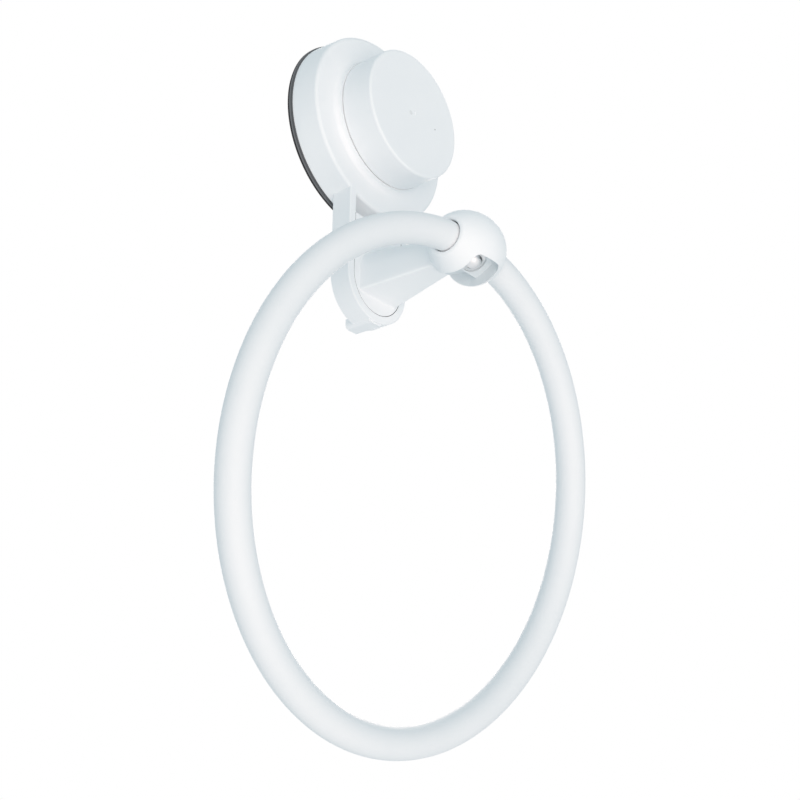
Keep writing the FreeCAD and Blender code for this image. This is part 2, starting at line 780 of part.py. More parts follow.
def arm_screw():
    """Self-tapping screw from behind, which holds the tongue in its socket."""
    body = new_body("arm_screw")
    profile = new_sketch(body, "back_profile", "XY_Plane", ("", "", "-back_drop"))
    tip = "-(socket_back + back_long)"
    outline(profile, [
        ("0", "-(socket_back - back_head_high)"),
        ("back_head_rad - back_head_round", "-(socket_back - back_head_high)",
         1, "DistanceY", "-socket_back"),
        ("back_head_rad", "-socket_back"),
        ("back_rad", "-socket_back"),
        ("back_rad", tip + " + back_taper"),
        ("back_tip_rad", tip),
        ("0", tip),
    ])
    revolve(body, "back_form", profile)
    cross_recess(
        body, lambda name: new_sketch(
            body, name, "XZ_Plane", ("", "-back_drop", "socket_back - back_head_high")),
        "cross_deep", back=True)
    return body


bodies = [suction_cup(), draw_stud(), housing(), knob(), knob_insert(), thrust_washer(),
          arm(), arm_screw(), ring(), ring_pin(), ring_screw()]
doc.recompute()

for item in doc.Objects:
    if "Invalid" in item.State or "Error" in item.State:
        raise RuntimeError("%s did not build: %s" % (item.Name, item.State))

os.makedirs("parts", exist_ok=True)
for body in bodies:
    if body.Shape.isNull() or not body.Shape.isValid():
        raise RuntimeError("%s has no valid shape" % body.Label)
    body.Shape.exportStep("parts/%s.step" % body.Label)
    print(body.Label, len(body.Shape.Solids), "solid(s),", round(body.Shape.Volume), "mm3")
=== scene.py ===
import json
import math

import bmesh
import bpy
from mathutils import Matrix, Vector


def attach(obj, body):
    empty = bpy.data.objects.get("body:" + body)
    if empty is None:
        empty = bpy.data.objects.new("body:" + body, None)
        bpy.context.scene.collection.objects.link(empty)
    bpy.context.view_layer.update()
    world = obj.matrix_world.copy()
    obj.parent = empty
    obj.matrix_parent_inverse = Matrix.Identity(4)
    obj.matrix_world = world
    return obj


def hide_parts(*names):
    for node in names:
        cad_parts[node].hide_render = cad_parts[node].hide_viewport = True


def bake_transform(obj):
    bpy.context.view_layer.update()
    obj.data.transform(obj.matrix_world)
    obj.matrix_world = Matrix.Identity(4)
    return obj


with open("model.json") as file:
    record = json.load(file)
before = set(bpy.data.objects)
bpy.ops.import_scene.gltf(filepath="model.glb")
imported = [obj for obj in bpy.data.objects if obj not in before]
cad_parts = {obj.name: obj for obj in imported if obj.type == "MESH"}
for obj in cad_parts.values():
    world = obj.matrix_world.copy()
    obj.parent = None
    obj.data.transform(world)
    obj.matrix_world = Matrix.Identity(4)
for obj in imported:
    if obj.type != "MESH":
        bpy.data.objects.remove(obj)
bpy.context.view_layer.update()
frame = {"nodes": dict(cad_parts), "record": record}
nodes = frame["nodes"]
scene = bpy.context.scene
print("frame loaded:", len(nodes), "nodes")

# The wall is the plane y = 0, the mount stands out from it along -Y, and +Z is up. Forms and marks
# are in millimetres. The camera, the studio, the noise scales and the bump distances use metres.
millimetre = 0.001
hinge = {"reach": 59.2, "drop": 70.5, "lean": 12.9}  # the hoop's axis in the head, and its hang
hingePlace = (0.0, -hinge["reach"], -hinge["drop"])


class Wire:  # an output socket that takes part in sums, so node maths reads as plain Python
    def __init__(self, board, socket):
        self.board = board
        self.socket = socket

    def maths(self, operation, *others):
        return self.board.maths(operation, self, *others)

    def __add__(self, other):
        return self.maths("ADD", other)

    def __radd__(self, other):
        return self.maths("ADD", other)

    def __sub__(self, other):
        return self.maths("SUBTRACT", other)

    def __rsub__(self, other):
        return self.board.maths("SUBTRACT", other, self)

    def __mul__(self, other):
        return self.maths("MULTIPLY", other)

    def __rmul__(self, other):
        return self.maths("MULTIPLY", other)

    def __truediv__(self, other):
        return self.maths("DIVIDE", other)

    def __neg__(self):
        return self.maths("MULTIPLY", -1.0)

    def between(self, low, high):  # smooth rise from 0 at low to 1 at high
        return self.board.wire("ShaderNodeMapRange", 0, {"interpolation_type": "SMOOTHSTEP"},
                               {0: self, 1: low, 2: high, 3: 0.0, 4: 1.0})

    def fading(self, low, high):  # smooth fall from 1 at low to 0 at high
        return 1.0 - self.between(low, high)

    def past(self, edge):  # 1 above the edge, else 0
        return self.maths("GREATER_THAN", edge)

    def held(self, low, high):  # kept between two limits
        return self.maths("MAXIMUM", low).maths("MINIMUM", high)

    def away(self, other):  # the distance that two offsets at right angles make
        return (self * self + other * other).maths("SQRT")


class Board:  # a node tree with one way to add a node
    def __init__(self, tree):
        self.tree = tree

    def node(self, kind, settings=None, sockets=None):
        made = self.tree.nodes.new(kind)
        for name, setting in (settings or {}).items():
            if name == "stops":
                for element, (place, shade) in zip(self.stopsOf(made, len(setting)), setting):
                    element.position = place
                    element.color = shade
            else:
                setattr(made, name, setting)
        for key, given in (sockets or {}).items():
            if isinstance(given, Wire):
                self.tree.links.new(given.socket, made.inputs[key])
            else:
                made.inputs[key].default_value = given
        return made

    def stopsOf(self, ramp, count):
        elements = ramp.color_ramp.elements
        while len(elements) < count:
            elements.new(0.5)
        return elements

    def wire(self, kind, output, settings=None, sockets=None):
        return Wire(self, self.node(kind, settings, sockets).outputs[output])

    def maths(self, operation, *given):
        return self.wire("ShaderNodeMath", 0, {"operation": operation}, dict(enumerate(given)))

    def vector(self, operation, *given):
        return self.wire("ShaderNodeVectorMath", 0, {"operation": operation},
                         dict(enumerate(given)))

    def dot(self, place, direction):
        return self.wire("ShaderNodeVectorMath", "Value", {"operation": "DOT_PRODUCT"},
                         {0: place, 1: direction})

    def mixColour(self, factor, low, high, blend="MIX"):  # sockets 6 and 7 take the colours
        return self.wire("ShaderNodeMix", 2, {"data_type": "RGBA", "blend_type": blend},
                         {0: factor, 6: low, 7: high})

    def mixShader(self, factor, low, high):
        return self.wire("ShaderNodeMixShader", 0, None, {0: factor, 1: low, 2: high})

    def bump(self, height, distance, strength=1.0):
        return self.wire("ShaderNodeBump", 0, None,
                         {"Strength": strength, "Distance": distance, "Height": height})


def colour(red, green, blue):
    return (red, green, blue, 1.0)


def addObject(name, data):
    made = bpy.data.objects.new(name, data)
    scene.collection.objects.link(made)
    return made


def emptyBoard(owner):  # the cleared node tree of a material or world
    owner.use_nodes = True
    owner.node_tree.nodes.clear()
    return Board(owner.node_tree)


cameraSet = {
    "place": (-0.40666081, -0.36569455, -0.34190920),  # below and to the left, looking up
    "right": (0.63549346, -0.77199183, 0.01329204),
    "up": (-0.30131077, -0.23211121, 0.92484388),
    "lens": 68.256,
    "sensor": 36.0,
    "near": 0.01,
}


def addCamera(values):
    data = bpy.data.cameras.new("camera")
    data.lens = values["lens"]
    data.sensor_width = values["sensor"]
    data.clip_start = values["near"]
    right, up = Vector(values["right"]), Vector(values["up"])
    turn = Matrix((right, up, right.cross(up))).transposed()
    made = addObject("camera", data)
    made.matrix_world = Matrix.Translation(values["place"]) @ turn.to_4x4()
    scene.camera = made


addCamera(cameraSet)
print("camera in place")


studio = {
    "paper": colour(1.0, 1.0, 1.0),  # what the backdrop shows, whatever lights the object
    "worldColour": colour(0.655, 0.78, 0.835),
    "worldStrength": 0.775,
    "floorColour": colour(0.9, 0.92, 0.93),
    "floorWhite": 0.82,
    "floorHeight": -2.2,
    "floorHalf": 60.0,
    "lamps": {
        "keyLamp": {"place": (-1.27, -1.88, -1.12), "size": 2.4, "power": 37.0,
                    "tint": (1.0, 0.80, 0.71)},
        "backLamp": {"place": (1.70, 1.50, 1.10), "size": 1.8, "power": 34.0,
                     "tint": (1.0, 0.80, 0.72)},
    },
    "aim": (0.0, -0.03, -0.08),
}


def seenRays(board):  # 1 for rays that show or mirror the backdrop, 0 for rays that light things
    path = board.node("ShaderNodeLightPath")
    straight, mirrored, through = [
        Wire(board, path.outputs[name])
        for name in ("Is Camera Ray", "Is Glossy Ray", "Is Transmission Ray")]
    return straight.maths("MAXIMUM", mirrored).maths("MAXIMUM", through)


def lightWorld(values):
    scene.world = bpy.data.worlds.new("world")
    board = emptyBoard(scene.world)
    soft = board.wire("ShaderNodeBackground", 0, None,
                      {"Color": values["worldColour"], "Strength": values["worldStrength"]})
    paper = board.wire("ShaderNodeBackground", 0, None, {"Color": values["paper"], "Strength": 1.0})
    board.node("ShaderNodeOutputWorld", None,
               {"Surface": board.mixShader(seenRays(board), soft, paper)})


def addLamps(values):
    for name, one in values["lamps"].items():
        data = bpy.data.lights.new(name, "AREA")
        data.size = one["size"]
        data.energy = one["power"]
        data.color = one["tint"]
        made = addObject(name, data)
        made.location = one["place"]
        sight = Vector(values["aim"]) - made.location
        made.rotation_euler = sight.to_track_quat("-Z", "Y").to_euler()


def addFloor(values):
    half, height = values["floorHalf"], values["floorHeight"]
    mesh = bpy.data.meshes.new("floor")
    corners = [(-half, -half, height), (half, -half, height),
               (half, half, height), (-half, half, height)]
    mesh.from_pydata(corners, [], [(0, 1, 2, 3)])
    finish = bpy.data.materials.new("paleFloor")
    board = emptyBoard(finish)
    matt = board.wire("ShaderNodeBsdfDiffuse", 0, None, {"Color": values["floorColour"]})
    paper = board.wire("ShaderNodeEmission", 0, None, {"Color": values["paper"], "Strength": 1.0})
    board.node("ShaderNodeOutputMaterial", None,
               {"Surface": board.mixShader(seenRays(board) * values["floorWhite"], matt, paper)})
    mesh.materials.append(finish)
    addObject("floor", mesh)


lightWorld(studio)
addLamps(studio)
addFloor(studio)
scene.view_settings.view_transform = "Standard"
print("floor and lights in place")


# Noises are given as scale, detail, roughness and stretch, and handling marks as scale, turn and
# stretch. A range gives where a smooth step starts and ends.
plasticLook = {
    "light": colour(0.930, 0.948, 0.960),
    "dark": colour(0.908, 0.930, 0.946),
    "smooth": 0.48,
    "dull": 0.62,
    "cloud": (55.0, 4.0, 0.55),
    "flow": (16.5, 2.0, 0.5, (1.0, 2.6, 0.7)),
    "cloudShare": 0.55,
    "toneRange": (0.36, 0.64),
    "grain": (1500.0, 2.0),
    "grainHeight": 0.6,
    "wave": (240.0, 2.0),
    "waveHeight": 1.4,
    "patches": (90.0, 3.0),
    "patchRange": (0.5, 0.68),
    "hairs": ((34.0, (0.5, 0.9, 0.3), (1.0, 16.0, 1.0)),
              (27.0, (1.9, 0.2, 1.1), (14.0, 1.0, 1.0))),
    "hairWidth": 0.012,
    "hairRough": 0.12,
    "hairDepth": 0.8,
    "lift": 0.000012,
    "ior": 1.47,
}
hoopLook = dict(plasticLook, light=colour(0.865, 0.888, 0.904), dark=colour(0.845, 0.872, 0.890))
washerLook = dict(plasticLook, light=colour(0.8, 0.79, 0.74), dark=colour(0.74, 0.73, 0.68))


def closeFinish(board, sockets):
    surface = board.wire("ShaderNodeBsdfPrincipled", 0, None, sockets)
    board.node("ShaderNodeOutputMaterial", None, {"Surface": surface})


def objectPlace(board):
    return board.wire("ShaderNodeTexCoord", "Object")


def placeFrom(board, where, centre=(0.0, 0.0, 0.0)):  # in millimetres from a centre in millimetres
    return board.vector("MULTIPLY_ADD", where, (1.0 / millimetre,) * 3, [-part for part in centre])


def axes(board, place):
    parts = board.node("ShaderNodeSeparateXYZ", None, {0: place})
    return [Wire(board, parts.outputs[i]) for i in range(3)]


def noise(board, where, scale, detail, rough=0.5, stretch=None):
    if stretch:
        where = board.wire("ShaderNodeMapping", 0, None, {"Vector": where, "Scale": stretch})
    return board.wire("ShaderNodeTexNoise", 0, None,
                      {"Vector": where, "Scale": scale, "Detail": detail, "Roughness": rough})


def hairlines(board, where, values):
    # thin handling marks: much stretched noises, of which only the narrow middle level shows
    lines = []
    for scale, turn, stretch in values["hairs"]:
        aimed = board.wire("ShaderNodeMapping", 0, None,
                           {"Vector": where, "Rotation": turn, "Scale": stretch})
        offMiddle = (noise(board, aimed, scale, 2.0) - 0.5).maths("ABSOLUTE")
        lines.append(offMiddle.fading(0.0, values["hairWidth"]))
    return sum(lines[1:], lines[0])


def plasticFinish(name, values, extra=None):
    made = bpy.data.materials.new(name)
    board = emptyBoard(made)
    where = objectPlace(board)
    cloud = noise(board, where, *values["cloud"]) * values["cloudShare"]
    flow = noise(board, where, *values["flow"]) * (1.0 - values["cloudShare"])
    tone = (cloud + flow).between(*values["toneRange"])
    grain = noise(board, where, *values["grain"])
    wave = noise(board, where, *values["wave"])
    patches = noise(board, where, *values["patches"]).between(*values["patchRange"])
    marks = hairlines(board, where, values) * patches
    tint = board.mixColour(tone, values["dark"], values["light"])
    smooth, dull = values["smooth"], values["dull"]
    rough = smooth + (dull - smooth) * tone + marks * values["hairRough"]
    height = (grain * values["grainHeight"] + wave * values["waveHeight"]
              - marks * values["hairDepth"])
    if extra:
        tint, rough, height = extra(board, where, tint, rough, height)
    closeFinish(board, {"Base Color": tint, "Roughness": rough, "IOR": values["ior"],
                        "Normal": board.bump(height, values["lift"])})
    return made


knobMarks = {
    "face": (-32.2, -32.0),  # the marks end behind the knob's face
    "gate": {"x": -2.2, "z": -0.6, "radius": 1.1},
    "speck": {"x": 13.56, "z": -0.89, "radius": 0.32},
    "edge": 0.75,  # where a mark starts to fade, as a share of its radius
    "shade": colour(0.12, 0.11, 0.10),
    "gateShade": 0.12,
    "speckShade": 0.8,
    "gateRough": 0.1,
    "gateDepth": 3.0,
    "ringRange": (0.5, 0.72),  # the raised ring round the gate's middle, as a share too
    "ringHeight": 6.0,
}


def knobFace(board, where, tint, rough, height):
    # the gate's trimmed mark near the middle of the face, and one dark speck near its edge
    x, y, z = axes(board, placeFrom(board, where))
    onFace = y.fading(*knobMarks["face"])

    def spot(mark):  # how far out a point lies as a share of the mark's radius, and the mark itself
        out = (x - mark["x"]).away(z - mark["z"]) / mark["radius"]
        return out, out.fading(knobMarks["edge"], 1.0) * onFace

    out, gate = spot(knobMarks["gate"])
    ring = gate * out.between(*knobMarks["ringRange"])
    speck = spot(knobMarks["speck"])[1]
    tint = board.mixColour(gate * knobMarks["gateShade"], tint, knobMarks["shade"])
    tint = board.mixColour(speck * knobMarks["speckShade"], tint, knobMarks["shade"])
    height = height + ring * knobMarks["ringHeight"] - gate * knobMarks["gateDepth"]
    return tint, rough + gate * knobMarks["gateRough"], height


partingLine = {
    "half": 0.11,  # half its width
    "rough": 0.08,
    "height": 2.2,
}


def hoopSeam(board, where, tint, rough, height):
    # the mould's parting line runs round the hoop in its own plane
    lean = math.radians(hinge["lean"])
    off = board.dot(placeFrom(board, where, hingePlace), (0.0, math.cos(lean), math.sin(lean)))
    seam = off.maths("ABSOLUTE").fading(0.0, partingLine["half"])
    return tint, rough + seam * partingLine["rough"], height + seam * partingLine["height"]


# painted shade in the narrow seam between the tongue and its socket
tongueSeam = {
    "middle": -71.0,  # where the tongue's half round foot begins
    "inner": (13.9, 13.98),  # the tongue's side
    "outer": (14.27, 14.29),  # the socket's wall
    "face": -14.9,  # the socket's front
    "under": (0.03, 0.12),  # how far below the front the painted shade starts
    "floor": (6.6, 7.2),  # and ends
    "top": (-46.0, -44.0),
    "seamShadow": colour(0.06, 0.065, 0.07),
    "share": 0.9,
    "rough": 0.2,
}


def paintedSeamShade(board, where, tint, rough, height):
    # painted shade: the narrow seam between the tongue and its socket is darkened where shade falls
    # in the gap
    x, y, z = axes(board, placeFrom(board, where))
    radius = x.away((z - tongueSeam["middle"]).maths("MINIMUM", 0.0))
    depth = y - tongueSeam["face"]
    inSeam = radius.between(*tongueSeam["inner"]) * radius.fading(*tongueSeam["outer"])
    sunk = depth.between(*tongueSeam["under"]) * depth.fading(*tongueSeam["floor"])
    seamShadow = inSeam * sunk * z.fading(*tongueSeam["top"])
    tint = board.mixColour(seamShadow * tongueSeam["share"], tint, tongueSeam["seamShadow"])
    return tint, rough + seamShadow * tongueSeam["rough"], height


# painted shade that darkens the walls inside the head's open pocket
headPocket = {
    "radius": 14.2,  # the head's barrel at its middle
    "crown": 18.0,  # the bulge of its side
    "skin": (0.1, 0.3),  # how far below its outer skin a wall counts as inside
    "level": (-5.4, -5.0),  # where the pocket begins below the hoop's axis
    "half": (7.8, 8.4),
    "shade": colour(0.80, 0.84, 0.855),
    "rough": 0.1,
}


def armPaintedShade(board, where, tint, rough, height):
    # painted shade in the seam, and painted shade with duller walls inside the head's open pocket
    tint, rough, height = paintedSeamShade(board, where, tint, rough, height)
    x, y, z = axes(board, placeFrom(board, where, hingePlace))
    crown = headPocket["crown"]
    skin = (crown * crown - x * x).maths("SQRT") + (headPocket["radius"] - crown)
    inside = ((skin - y.away(z)).between(*headPocket["skin"]) * z.fading(*headPocket["level"])
              * x.maths("ABSOLUTE").fading(*headPocket["half"]))
    shaded = board.mixColour(1.0, tint, headPocket["shade"], "MULTIPLY")
    return board.mixColour(inside, tint, shaded), rough + inside * headPocket["rough"], height


rubberLook = {
    "lip": colour(0.010, 0.011, 0.013),
    "side": colour(0.098, 0.106, 0.114),
    "crest": colour(0.175, 0.185, 0.195),
    "foot": colour(0.070, 0.076, 0.082),
    # tones across the rim's thickness, from the wall out: lip is the rubber's own black, and the
    # lighter side, crest and foot tones are painted light on the rim's rounded edge, the crest a
    # painted highlight
    "paintedLightBands": ((0.0, "lip"), (0.3, "lip"), (0.42, "side"),
              (0.56, "crest"), (0.72, "side"), (1.0, "foot")),
    "rimDepth": 2.5,
    "rim": (38.6, 39.2),  # the radius from which the rim shows beyond the dish
    "bandShare": 0.82,
    "cloud": (240.0, 4.0),
    "cloudShare": 0.3,
    "dust": colour(0.11, 0.12, 0.13),
    "dustNoise": (38.0, 3.0),
    "dustRange": (0.35, 0.75),
    "dustShare": 0.08,
    "grain": (2600.0, 2.0),
    "grooves": 9.0,  # fine turned rings, in radians for each millimetre
    "grooveHeight": 0.125,
    "lift": 0.00002,
    "smooth": 0.5,
    "cloudRough": 0.2,
    "ior": 1.5,
}


def rubberFinish(name, values):
    made = bpy.data.materials.new(name)
    board = emptyBoard(made)
    where = objectPlace(board)
    x, y, z = axes(board, placeFrom(board, where))
    radius = x.away(z)
    # painted highlight and painted shade across the rim's rounded edge, as tones in the base colour
    stops = [(place, values[band]) for place, band in values["paintedLightBands"]]
    edge = board.wire("ShaderNodeValToRGB", 0, {"stops": stops}, {0: y / -values["rimDepth"]})
    cloud = noise(board, where, *values["cloud"])
    dust = noise(board, where, *values["dustNoise"]).between(*values["dustRange"])
    onRim = radius.between(*values["rim"]) * (values["bandShare"] + cloud * values["cloudShare"])
    base = board.mixColour(onRim, values["lip"], edge)
    base = board.mixColour(dust * values["dustShare"], base, values["dust"])
    grain = noise(board, where, *values["grain"])
    grooves = (radius * values["grooves"]).maths("SINE") * values["grooveHeight"]
    rough = values["smooth"] + cloud * values["cloudRough"]
    closeFinish(board, {"Base Color": base, "Roughness": rough, "IOR": values["ior"],
                        "Normal": board.bump(grain + grooves, values["lift"])})
    return made


metalLook = {
    "cloud": (420.0, 3.0),
    "cloudRange": (0.3, 0.7),
    "grain": (2400.0, 3.0),
    "hairs": ((300.0, (0.7, 0.4, 0.2), (1.0, 10.0, 1.0)),),
    "hairWidth": 0.012,
    "hairRough": 0.05,
    "hairDepth": 0.5,
    "lift": 0.00001,
    "strength": 0.6,
}
chromeLook = dict(metalLook, base=colour(0.90, 0.912, 0.925), worn=colour(0.86, 0.875, 0.89),
                  rough=(0.5, 0.58), cloud=(160.0, 3.0), lift=0.000003)
zincLook = dict(metalLook, base=colour(0.58, 0.6, 0.61), worn=colour(0.44, 0.45, 0.46),
                rough=(0.26, 0.46))
brassLook = dict(metalLook, base=colour(0.76, 0.55, 0.24), worn=colour(0.62, 0.42, 0.17),
                 rough=(0.22, 0.4))


def metalFinish(name, values, extra=None):
    made = bpy.data.materials.new(name)
    board = emptyBoard(made)
    where = objectPlace(board)
    cloud = noise(board, where, *values["cloud"]).between(*values["cloudRange"])
    grain = noise(board, where, *values["grain"])
    marks = hairlines(board, where, values)
    tint = board.mixColour(cloud, values["base"], values["worn"])
    if extra:
        tint = extra(board, where, tint)
    low, high = values["rough"]
    rough = low + cloud * (high - low) + marks * values["hairRough"]
    bump = board.bump(grain - marks * values["hairDepth"], values["lift"], values["strength"])
    closeFinish(board, {"Base Color": tint, "Metallic": 1.0, "Roughness": rough, "Normal": bump})
    return made


# painted shadow on the outer edge of the domed screw head
screwRim = {
    "centre": (0.0, -63.0, -78.7),  # on the screw's axis
    "tilt": 25.0,  # of that axis from upright
    "edge": (2.55, 2.9),  # radius
    "side": (-1.4, 0.6),  # along x
    "groove": colour(0.03, 0.033, 0.037),
    "share": 0.9,
}


def paintedRimShadow(board, where, tint):
    # painted shadow: the head's outer edge is darkened on the side away from the light, where the
    # gap beside it lies in shade
    tilt = math.radians(screwRim["tilt"])
    local = placeFrom(board, where, screwRim["centre"])
    x = axes(board, local)[0]
    radius = x.away(board.dot(local, (0.0, -math.cos(tilt), math.sin(tilt))))
    groove = radius.between(*screwRim["edge"]) * x.between(*screwRim["side"])
    return board.mixColour(groove * screwRim["share"], tint, screwRim["groove"])


slotFinishes = {
    "white_plastic": plasticFinish("whitePlastic", plasticLook, paintedSeamShade),
    "ring_plastic": plasticFinish("hoopPlastic", hoopLook, hoopSeam),
    "washer_nylon": plasticFinish("washerNylon", washerLook),
    "black_rubber": rubberFinish("blackRubber", rubberLook),
    "screw_steel": metalFinish("screwChrome", chromeLook, paintedRimShadow),
    "stud_steel": metalFinish("zincSteel", zincLook),
    "insert_brass": metalFinish("turnedBrass", brassLook),
}
ownFinishes = {
    "knob": plasticFinish("knobPlastic", plasticLook, knobFace),
    "arm": plasticFinish("armPlastic", plasticLook, armPaintedShade),
}
slotOf = {part["node"]: part["material_slot"] for part in frame["record"]["subparts"]}
for name, piece in nodes.items():
    piece.data.materials.clear()
    piece.data.materials.append(ownFinishes.get(name, slotFinishes[slotOf[name]]))
print("finishes on", len(nodes), "nodes")


class Recipe(Board):  # a geometry tree with named inputs, which bends one grid into a closed piece
    weldGap = 0.001  # in millimetres

    def __init__(self, name, values):
        Board.__init__(self, bpy.data.node_groups.new(name, "GeometryNodeTree"))
        self.values = values
        self.keys = {}
        sockets = self.tree.interface
        for key, number in values.items():
            kind = "NodeSocketInt" if isinstance(number, int) else "NodeSocketFloat"
            self.keys[key] = sockets.new_socket(key, in_out="INPUT", socket_type=kind).identifier
        sockets.new_socket("Geometry", in_out="OUTPUT", socket_type="NodeSocketGeometry")
        entry = self.node("NodeGroupInput")
        self.given = {key: Wire(self, entry.outputs[key]) for key in values}

    def grid(self):  # row and column of each point, the column as a turn from 0 to 1
        index = self.wire("GeometryNodeInputIndex", 0)
        columns = self.given["columns"]
        row = ((index + 0.5) / columns).maths("FLOOR")
        return row, (index - row * columns) / (columns - 1.0)

    def ladder(self, row, rungs):  # each rung's amount is added from its row on
        parts = [row.past(first - 0.5) * amount for first, amount in rungs]
        return sum(parts[1:], parts[0])

    def finish(self, places, material):  # the places are in millimetres
        sheet = self.wire("GeometryNodeMeshGrid", 0, None,
                          {"Vertices X": self.given["rows"], "Vertices Y": self.given["columns"]})
        place = self.wire("ShaderNodeCombineXYZ", 0, None,
                          {i: axis * millimetre for i, axis in enumerate(places)})
        bent = self.wire("GeometryNodeSetPosition", 0, None, {"Geometry": sheet, "Position": place})
        closed = self.wire("GeometryNodeMergeByDistance", 0, None,
                           {"Geometry": bent, "Distance": self.weldGap * millimetre})
        outward = self.wire("GeometryNodeFlipFaces", 0, None, {"Mesh": closed})
        whole = self.wire("GeometryNodeRealizeInstances", 0, None, {"Geometry": outward})
        dressed = self.wire("GeometryNodeSetMaterial", 0, None,
                            {"Geometry": whole, "Material": material})
        self.node("NodeGroupOutput", None, {"Geometry": dressed})


# The forms below are in millimetres and degrees.
hoopForm = {
    "rows": 460,
    "columns": 61,
    "endRows": 5,
    "hoopRadius": 93.0,
    "barRadius": 5.985,
    "bendRadius": 40.0,
    "chordDrop": 0.9,
    "endGap": 2.3,
    "endSoft": 0.6,
    "softShare": 0.7,
    "spigotRadius": 2.55,
    "spigotDeep": 5.7,
    "reach": hinge["reach"],
    "drop": hinge["drop"],
    "lean": hinge["lean"],
}


def hoopRecipe(name, values, material):
    # straight through the head, a short tighter bend on each side, then one large circle
    tree = Recipe(name + "Recipe", values)
    given = tree.given
    row, turn = tree.grid()
    big, small = given["hoopRadius"], given["bendRadius"]
    bend = (1.0 - given["chordDrop"] / (big - small)).maths("ARCCOSINE")
    straight = (big - small) * bend.maths("SINE")
    half = straight + small * bend + big * (math.pi - bend)

    # rows from either end: 0 and 1 are the spigot hole's floor, 2 its mouth, 3 the edge of the
    # bar's end face, and 4 and 5 round that edge
    near = row.maths("MINIMUM", given["rows"] - 1.0 - row)
    soft, deep = given["endSoft"], given["spigotDeep"]
    edge = ((4, soft * given["softShare"]), (5, soft * (1.0 - given["softShare"])))
    spigot = given["spigotRadius"]
    bar = tree.ladder(near, ((1, spigot), (3, given["barRadius"] - soft - spigot)) + edge)
    shift = deep - soft + tree.ladder(near, ((2, -deep),) + edge)

    share = (row - given["endRows"]) / (given["rows"] - 1.0 - given["endRows"] * 2.0)
    inward = 1.0 - row.past(given["rows"] * 0.5) * 2.0
    start = given["endGap"] + soft
    along = start + share.held(0.0, 1.0) * (half - start) * 2.0 + inward * shift

    side = (half - along).maths("SIGN")
    gone = half - (along - half).maths("ABSOLUTE")
    first = ((gone - straight) / small).held(0.0, bend)
    second = ((gone - straight - small * bend) / big).maths("MAXIMUM", 0.0)
    heading = first + second
    outX = (gone.maths("MINIMUM", straight) + small * first.maths("SINE")
            + big * (heading.maths("SINE") - first.maths("SINE")))
    sunk = (small * (1.0 - first.maths("COSINE"))
            + big * (first.maths("COSINE") - heading.maths("COSINE")))

    angle = turn * math.tau
    lift = bar * angle.maths("COSINE")
    up = lift * heading.maths("COSINE") - sunk
    out = bar * angle.maths("SINE")
    lean = given["lean"].maths("RADIANS")
    tree.finish((side * (outX + lift * heading.maths("SINE")),
                 -given["reach"] - up * lean.maths("SINE") - out * lean.maths("COSINE"),
                 -given["drop"] + up * lean.maths("COSINE") - out * lean.maths("SINE")), material)
    return tree


screwForm = {
    "columns": 61,
    "root": 0.2,  # where the thread's flank starts, as a share of half a pitch
    "crest": 0.85,  # and where it ends
    "runShare": 0.4,  # the bare share of the run-out under the head
    "flat": 50.0,  # half the width over the flats; wider than the screw cuts none
    "headSoft": 0.12,
    "slotHalf": 0.0,
    "slotReach": 0.0,
    "slotDeep": 0.0,
    "slotSoft": 0.12,
}
screwForms = {
    "drawStud": dict(
        screwForm, rows=240, columns=73, tipRows=200, long=19.8, tipRadius=3.9, tipLong=1.2,
        core=4.15, thread=0.85, pitch=3.0, runOut=1.4, flat=4.0,
        headRadius=10.5, headSide=1.8, headDome=0.02, headSoft=0.25,
        originY=-26.2, originZ=0.0, turned=-90.0),
    "backScrew": dict(
        screwForm, rows=200, tipRows=150, long=12.0, tipRadius=0.3, tipLong=3.0,
        core=1.35, thread=0.5, pitch=1.3, runOut=0.6,
        headRadius=3.5, headSide=0.25, headDome=1.6, slotHalf=0.45, slotReach=1.5, slotDeep=1.0,
        originY=-17.6, originZ=-70.5, turned=-90.0),
    "hoopScrew": dict(
        screwForm, rows=150, columns=73, tipRows=90, long=3.75, tipRadius=1.1, tipLong=0.5,
        core=1.18, thread=0.3, pitch=0.7, runOut=0.3,
        headRadius=3.25, headSide=0.7, headDome=1.7,
        originY=-60.5525, originZ=-73.4002, turned=155.0),
}


